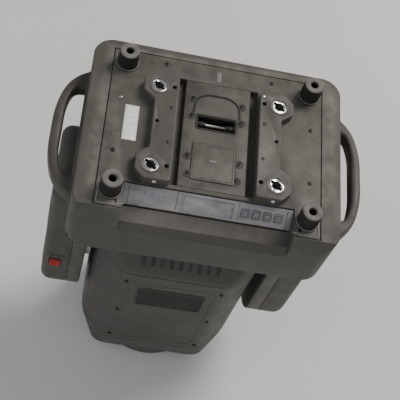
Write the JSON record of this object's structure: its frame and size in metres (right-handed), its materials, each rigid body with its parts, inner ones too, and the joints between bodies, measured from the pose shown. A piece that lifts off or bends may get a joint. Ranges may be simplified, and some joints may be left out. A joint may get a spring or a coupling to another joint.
{
  "type": "moving head light",
  "caption": "Hanging motorised spotlight: flat base with raised quarter-turn mounting plates and rubber feet, U-shaped yoke that pans, and an octagonal head that tilts.",
  "frame": {"origin": "on the pan axis, in the face of the two raised bracket plates that the clamps bolt to", "axes": "+Z out of the base towards the truss, -Z down to the lens; +Y to the connectors, -Y to the control panel; +X along the base's long side"},
  "size_m": [0.406, 0.258, 0.551],
  "materials": {
    "casing": "fine-textured moulded plastic with a dusty bloom",
    "casting": "satin powder coat on die-cast aluminium",
    "chrome_metal": "bright plated, lightly scuffed",
    "steel": "machined, dull",
    "bare_aluminium": "machined",
    "motor_black": "satin black",
    "foot_rubber": "matt rubber greyed by dust",
    "label_white": "printed film, left blank",
    "fascia_gloss": "glossy membrane panel",
    "display_glass": "glossy dark window",
    "button_grey": "soft-touch keycap",
    "socket_plastic": "moulded insulating plastic",
    "socket_metal": "black-plated die-cast shell",
    "board_green": "solder-masked circuit board",
    "belt_rubber": "reinforced rubber",
    "lock_red": "moulded latch knob",
    "lens_glass": "coated optical glass",
    "led_yellow": "phosphor-coated emitter under a clear dome",
    "wheel_metal": "thin sheet with windows"
  },
  "bodies": {
    "base": {"base_housing": "casing", "bottom_cover": "casing", "centre_cover": "casing", "access_lid": "casing", "bracket_plate_left": "casting", "bracket_plate_right": "casting", "quarter_turn_sockets": "chrome_metal", "safety_bar": "chrome_metal", "handle_left": "casing", "handle_right": "casing", "rubber_feet": "foot_rubber", "control_fascia": "fascia_gloss", "display_window": "display_glass", "connector_panel": "casting", "power_sockets": "socket_plastic", "signal_sockets": "socket_metal", "power_supply": "bare_aluminium", "control_board": "board_green", "cover_screws": "steel", "label_plate": "label_white", "pan_motor": "motor_black", "pan_belt": "belt_rubber", "pan_bearing": "steel"},
    "menu_button": {"button_menu": "button_grey"},
    "down_button": {"button_down": "button_grey"},
    "up_button": {"button_up": "button_grey"},
    "enter_button": {"button_enter": "button_grey"},
    "pan_drive": {"pan_pinion": "bare_aluminium"},
    "yoke": {"pan_spindle": "steel", "pan_pulley": "bare_aluminium", "crossbar": "casting", "crossbar_cover": "casing", "arm_frame_left": "casting", "arm_frame_right": "casting", "arm_cover_left": "casing", "arm_cover_right": "casing", "tilt_motor": "motor_black", "tilt_belt": "belt_rubber", "tilt_bearings": "steel"},
    "pan_latch": {"pan_lock": "lock_red"},
    "tilt_latch": {"tilt_lock": "lock_red"},
    "tilt_drive": {"tilt_pinion": "bare_aluminium"},
    "head": {"head_cover_front": "casing", "head_cover_back": "casing", "rear_grille": "casting", "front_bezel": "casting", "front_lens": "lens_glass", "head_chassis": "bare_aluminium", "heatsink": "bare_aluminium", "led_module": "led_yellow", "fan_frames": "motor_black", "guide_rods": "steel", "tilt_trunnions": "bare_aluminium", "tilt_pulley": "bare_aluminium"},
    "left_fan": {"head_fan_left": "motor_black"},
    "right_fan": {"head_fan_right": "motor_black"},
    "colour_disc": {"colour_wheel": "wheel_metal"},
    "gobo_disc": {"gobo_wheel": "wheel_metal"},
    "zoom_stage": {"zoom_carriage": "bare_aluminium"},
    "focus_stage": {"focus_carriage": "bare_aluminium"}
  },
  "joints": [
    {"name": "pan", "type": "hinge", "parent": "base", "child": "yoke", "pos_m": [0, 0, -0.11], "axis": [0, 0, 1], "range_deg": [-270, 270]},
    {"name": "tilt", "type": "hinge", "parent": "yoke", "child": "head", "pos_m": [0, 0, -0.348], "axis": [1, 0, 0], "range_deg": [-132.5, 132.5]},
    {"name": "pan_pinion_spin", "type": "hinge", "parent": "base", "child": "pan_drive", "pos_m": [0.085, 0, -0.078], "axis": [0, 0, 1], "range_deg": [-1742, 1742]},
    {"name": "tilt_pinion_spin", "type": "hinge", "parent": "yoke", "child": "tilt_drive", "pos_m": [0.177, 0, -0.24], "axis": [1, 0, 0], "range_deg": [-747, 747]},
    {"name": "menu_press", "type": "slide", "parent": "base", "child": "menu_button", "axis": [0, 0.7071, -0.7071], "range_m": [0, 0.0012], "stiffness_N_per_m": 300, "springref_m": -0.0005},
    {"name": "down_press", "type": "slide", "parent": "base", "child": "down_button", "axis": [0, 0.7071, -0.7071], "range_m": [0, 0.0012], "stiffness_N_per_m": 300, "springref_m": -0.0005},
    {"name": "up_press", "type": "slide", "parent": "base", "child": "up_button", "axis": [0, 0.7071, -0.7071], "range_m": [0, 0.0012], "stiffness_N_per_m": 300, "springref_m": -0.0005},
    {"name": "enter_press", "type": "slide", "parent": "base", "child": "enter_button", "axis": [0, 0.7071, -0.7071], "range_m": [0, 0.0012], "stiffness_N_per_m": 300, "springref_m": -0.0005},
    {"name": "pan_lock_slide", "type": "slide", "parent": "yoke", "child": "pan_latch", "axis": [1, 0, 0], "range_m": [0, 0.008]},
    {"name": "tilt_lock_slide", "type": "slide", "parent": "yoke", "child": "tilt_latch", "axis": [0, 0, 1], "range_m": [0, 0.008]},
    {"name": "left_fan_spin", "type": "hinge", "parent": "head", "child": "left_fan", "pos_m": [-0.089, 0, -0.234], "axis": [1, 0, 0], "continuous": true},
    {"name": "right_fan_spin", "type": "hinge", "parent": "head", "child": "right_fan", "pos_m": [0.089, 0, -0.234], "axis": [1, 0, 0], "continuous": true},
    {"name": "colour_wheel_spin", "type": "hinge", "parent": "head", "child": "colour_disc", "pos_m": [0.04, 0, -0.323], "axis": [0, 0, 1], "continuous": true},
    {"name": "gobo_wheel_spin", "type": "hinge", "parent": "head", "child": "gobo_disc", "pos_m": [-0.04, 0, -0.343], "axis": [0, 0, 1], "continuous": true},
    {"name": "zoom_slide", "type": "slide", "parent": "head", "child": "zoom_stage", "axis": [0, 0, -1], "range_m": [0, 0.038]},
    {"name": "focus_slide", "type": "slide", "parent": "head", "child": "focus_stage", "axis": [0, 0, 1], "range_m": [-0.012, 0.01]}
  ],
  "couplings": [
    {"joint": "pan_pinion_spin", "follows": "pan", "ratio": 6.4444},
    {"joint": "tilt_pinion_spin", "follows": "tilt", "ratio": 5.625}
  ]
}
